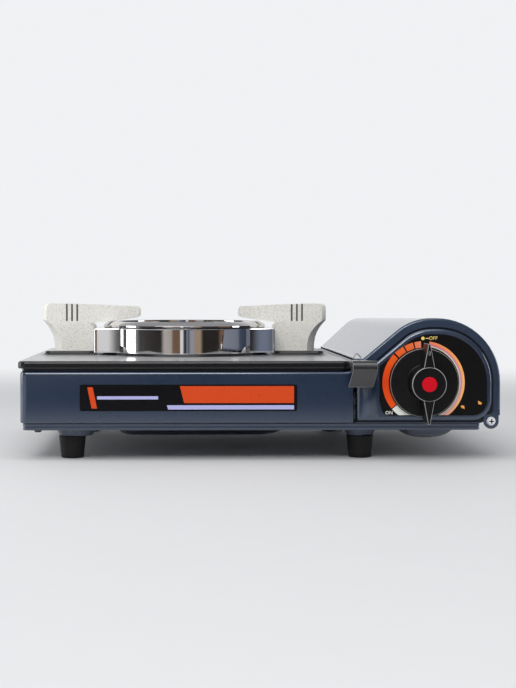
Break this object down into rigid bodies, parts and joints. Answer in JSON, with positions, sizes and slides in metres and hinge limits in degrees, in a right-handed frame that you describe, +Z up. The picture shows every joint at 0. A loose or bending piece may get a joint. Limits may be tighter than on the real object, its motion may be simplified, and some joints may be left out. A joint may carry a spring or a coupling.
{
  "type": "butane cassette stove",
  "caption": "Portable tabletop gas stove: a burner in a chrome wind ring with cast pan supports, beside a lidded cartridge bay with a control knob and lock lever.",
  "frame": {"origin": "on the ground under the middle of the overall box, with all four feet at Z = 0", "axes": "+X to the right as seen from the front, -Y towards the front with the knob, +Z up"},
  "size_m": [0.34, 0.2792, 0.1101],
  "materials": {
    "navy_paint": "navy baked paint with a fine metallic fleck",
    "black_enamel": "glossy black enamel",
    "chrome": "bright chrome",
    "cast_aluminium": "as cast, finely grained",
    "dark_iron": "heat-darkened casting",
    "bare_steel": "zinc-plated pressed steel",
    "zinc_steel": "bright zinc",
    "brass": "turned",
    "black_rubber": "matte",
    "pale_rubber": "matte",
    "black_plastic": "satin moulded",
    "pale_plastic": "moulded",
    "red_plastic": "gloss",
    "ceramic": "glazed ceramic",
    "dial_foil": "satin printed plate",
    "label_foil": "printed film, unlettered"
  },
  "bodies": {
    "stove_body": {"body_shell": "navy_paint", "base_plate": "navy_paint", "foot_front_left": "black_rubber", "foot_front_right": "black_rubber", "foot_rear_left": "black_rubber", "foot_rear_right": "black_rubber", "foot_screws": "zinc_steel", "base_screws": "zinc_steel", "front_frame": "bare_steel", "front_panel": "navy_paint", "dial_plate": "dial_foil", "rear_panel": "navy_paint", "partition": "bare_steel", "burner_cap": "dark_iron", "burner_body": "cast_aluminium", "mixing_tube": "bare_steel", "burner_bracket": "bare_steel", "burner_screws": "zinc_steel", "gas_nozzle": "brass", "regulator_body": "cast_aluminium", "regulator_cover": "bare_steel", "regulator_screws": "zinc_steel", "regulator_bracket": "bare_steel", "inlet_collar": "cast_aluminium", "collar_seal": "black_rubber", "sled_spring": "bare_steel", "sled_rails": "bare_steel", "lever_pin": "zinc_steel", "lever_bracket": "bare_steel", "piezo_igniter": "pale_plastic", "piezo_clamp": "bare_steel", "ignition_wire": "pale_rubber", "electrode": "bare_steel", "electrode_insulator": "ceramic", "hinge_screw_front": "zinc_steel", "hinge_screw_rear": "zinc_steel", "lid_bumpers": "black_rubber", "label_plate": "label_foil"},
    "cooktop": {"top_plate": "black_enamel", "wind_ring": "chrome", "support_left": "cast_aluminium", "support_right": "cast_aluminium", "support_screws": "zinc_steel"},
    "knob": {"control_knob": "black_plastic", "knob_cap": "red_plastic", "valve_spindle": "brass", "spindle_cam": "black_plastic"},
    "plunger": {"piezo_plunger": "red_plastic"},
    "lever": {"lock_lever": "black_plastic"},
    "sled": {"cartridge_sled": "bare_steel"},
    "lid": {"lid": "navy_paint"}
  },
  "joints": [
    {"name": "cooktop_lift", "type": "slide", "parent": "stove_body", "child": "cooktop", "axis": [0, 0, 1], "range_m": [0, 0.08]},
    {"name": "knob_turn", "type": "hinge", "parent": "stove_body", "child": "knob", "pos_m": [0.1152, -0.1126, 0.0553], "axis": [0, -1, 0], "range_deg": [0, 135]},
    {"name": "plunger_push", "type": "slide", "parent": "stove_body", "child": "plunger", "axis": [-1, 0, 0], "range_m": [0, 0.0045]},
    {"name": "lever_press", "type": "hinge", "parent": "stove_body", "child": "lever", "pos_m": [0.0672, -0.0926, 0.044], "axis": [1, 0, 0], "range_deg": [0, 45]},
    {"name": "sled_travel", "type": "slide", "parent": "stove_body", "child": "sled", "axis": [0, -1, 0], "range_m": [0, 0.005], "deforming": ["sled_spring"]},
    {"name": "lid_hinge", "type": "hinge", "parent": "stove_body", "child": "lid", "pos_m": [0.1634, 0, 0.0278], "axis": [0, 1, 0], "range_deg": [0, 95]}
  ],
  "couplings": [
    {"joint": "plunger_push", "follows": "knob_turn", "m_per_rad": 0.0019098},
    {"joint": "lever_press", "follows": "sled_travel", "rad_per_m": 157.08}
  ]
}
